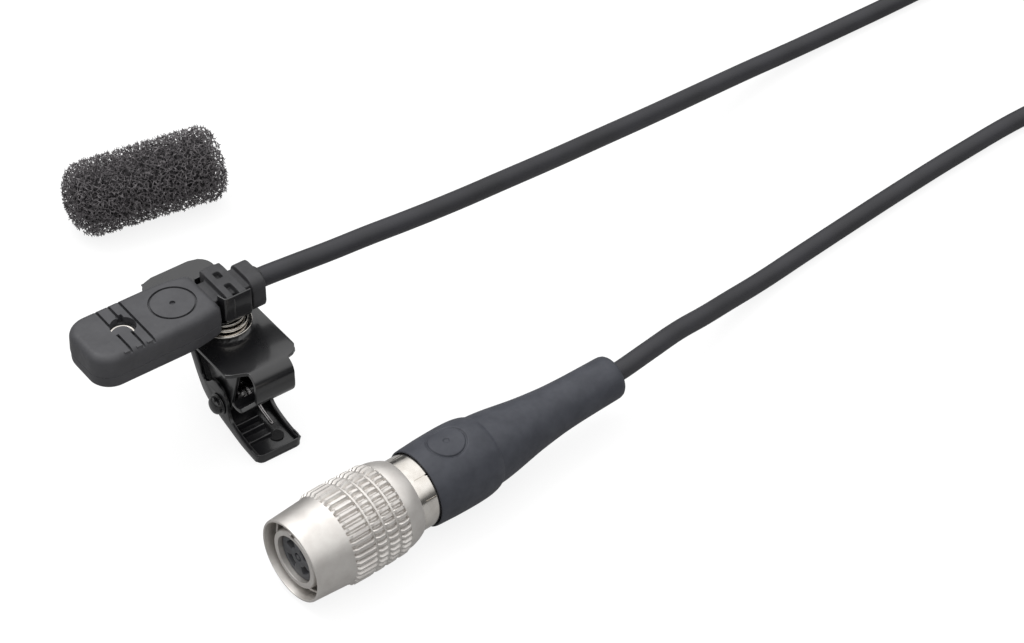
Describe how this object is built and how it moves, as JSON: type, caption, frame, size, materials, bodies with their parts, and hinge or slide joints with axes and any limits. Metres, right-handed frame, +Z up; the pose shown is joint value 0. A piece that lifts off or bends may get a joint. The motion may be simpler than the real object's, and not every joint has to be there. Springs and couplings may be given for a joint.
{
  "type": "lavalier microphone",
  "caption": "Flat clip-on lavalier microphone with sound port, swivelling spring clip, foam windscreen and thin cable to a round locking plug.",
  "frame": {"origin": "on the floor under the middle of the head, clip and windscreen", "axes": "+Z up, head pointing to -X, cable leaving to +X, clip jaws opening to +Y"},
  "size_m": [0.1768, 0.0719, 0.0176],
  "materials": {
    "head_plastic": "fine satin texture",
    "relief_rubber": "soft matte",
    "boot_rubber": "moulded satin",
    "cable_jacket": "smooth matte jacket",
    "black_steel": "black nickel, glossy",
    "nickel": "bright nickel",
    "satin_nickel": "satin nickel",
    "gold": "gold plated",
    "insulator_plastic": "moulded",
    "foam": "open-cell foam",
    "film": "metallised film",
    "board": "circuit board",
    "copper": "enamelled wire",
    "white_plastic": "moulded",
    "strap": "hook-and-loop strap"
  },
  "bodies": {
    "root": {"housing_top": "head_plastic", "housing_bottom": "head_plastic", "port_ring": "nickel", "port_mesh": "black_steel", "capsule_can": "nickel", "capsule_gasket": "relief_rubber", "capsule_diaphragm": "film", "capsule_spacer": "white_plastic", "capsule_backplate": "gold", "capsule_insulator": "white_plastic", "capsule_board": "board", "fet_chip": "insulator_plastic", "strain_relief": "relief_rubber", "cable_inner_end": "cable_jacket", "lead_a": "copper", "lead_b": "white_plastic", "clip_holder": "black_steel", "swivel_rivet": "nickel", "cable_head_run": "cable_jacket", "cable_coil": "cable_jacket", "cable_tie": "strap", "cable_plug_run": "cable_jacket", "boot": "boot_rubber", "cable_clamp": "satin_nickel", "rear_ferrule": "nickel", "plug_shell": "nickel", "insulator": "insulator_plastic", "contact_1": "gold", "contact_2": "gold", "contact_3": "gold", "contact_4": "gold", "sleeve_spring": "nickel"},
    "clip": {"clip_upper_lever": "black_steel", "flat_washer": "nickel", "spring_washer": "nickel", "pivot_pin": "black_steel", "torsion_spring": "nickel"},
    "jaw": {"clip_lower_lever": "black_steel", "torsion_spring_leg": "nickel"},
    "sleeve": {"coupling_sleeve": "satin_nickel"},
    "windscreen": {"windscreen": "foam"}
  },
  "joints": [
    {"name": "clip_swivel", "type": "hinge", "parent": "root", "child": "clip", "pos_m": [-0.00101, -0.01458, 0.0114], "axis": [0, 0, 1], "continuous": true},
    {"name": "jaw_pivot", "type": "hinge", "parent": "clip", "child": "jaw", "pos_m": [-0.00101, -0.01698, 0.0034], "axis": [-1, 0, 0], "range_deg": [0, 25], "stiffness_Nm_per_rad": 0.03, "springref_deg": -28.65},
    {"name": "sleeve_slide", "type": "slide", "parent": "root", "child": "sleeve", "axis": [0.9979, 0.0645, 0], "range_m": [0, 0.001], "stiffness_N_per_m": 400, "springref_m": -0.004},
    {"name": "windscreen_lift", "type": "slide", "parent": "root", "child": "windscreen", "axis": [0, 0, 1], "range_m": [0, 0.025]}
  ]
}
